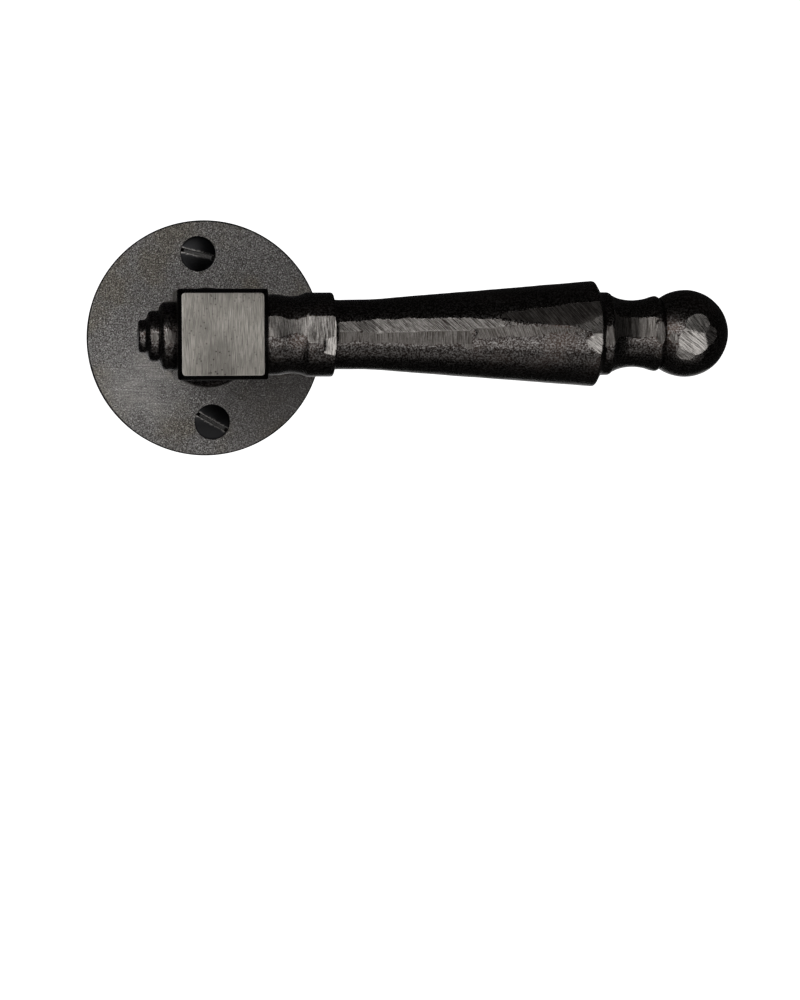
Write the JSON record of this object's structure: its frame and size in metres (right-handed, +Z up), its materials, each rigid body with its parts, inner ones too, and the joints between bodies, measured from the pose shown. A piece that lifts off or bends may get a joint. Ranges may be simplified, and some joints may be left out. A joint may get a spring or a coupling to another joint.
{
  "type": "door lever handle",
  "caption": "Cast iron door lever handle with a square head, tapered grip and ball end on a sprung round rose.",
  "frame": {"origin": "centre of the rose's back face, on the axis the lever turns about", "axes": "+X along the grip, +Y into the door, +Z up; the handle stands out of the door towards -Y"},
  "size_m": [0.1523, 0.1401, 0.06],
  "materials": {
    "lever_iron": "black-brown patina, ground along the front",
    "rose_iron": "dark grey, lightly brushed",
    "screw_steel": "blackened steel, slot worn bright",
    "plate_steel": "zinc plated",
    "bright_steel": "drawn and lightly oiled",
    "spring_steel": "oil tempered",
    "bush_bronze": "sintered bronze"
  },
  "bodies": {
    "rose_fixed": {"rose": "rose_iron", "base_plate": "plate_steel", "bush": "bush_bronze", "stop_pin_rest": "bright_steel", "stop_pin_down": "bright_steel", "wood_screw_upper": "screw_steel", "wood_screw_lower": "screw_steel", "return_spring": "spring_steel"},
    "lever": {"lever": "lever_iron", "spindle": "bright_steel", "grub_screw": "screw_steel", "stop_washer": "bright_steel", "wave_washer": "spring_steel", "circlip": "spring_steel"}
  },
  "joints": [
    {"name": "lever_turn", "type": "hinge", "parent": "rose_fixed", "child": "lever", "pos_m": [0, 0, 0], "axis": [0, 1, 0], "range_deg": [0, 45], "stiffness_Nm_per_rad": 0.24, "springref_deg": -97.4, "deforming": ["return_spring"]}
  ]
}
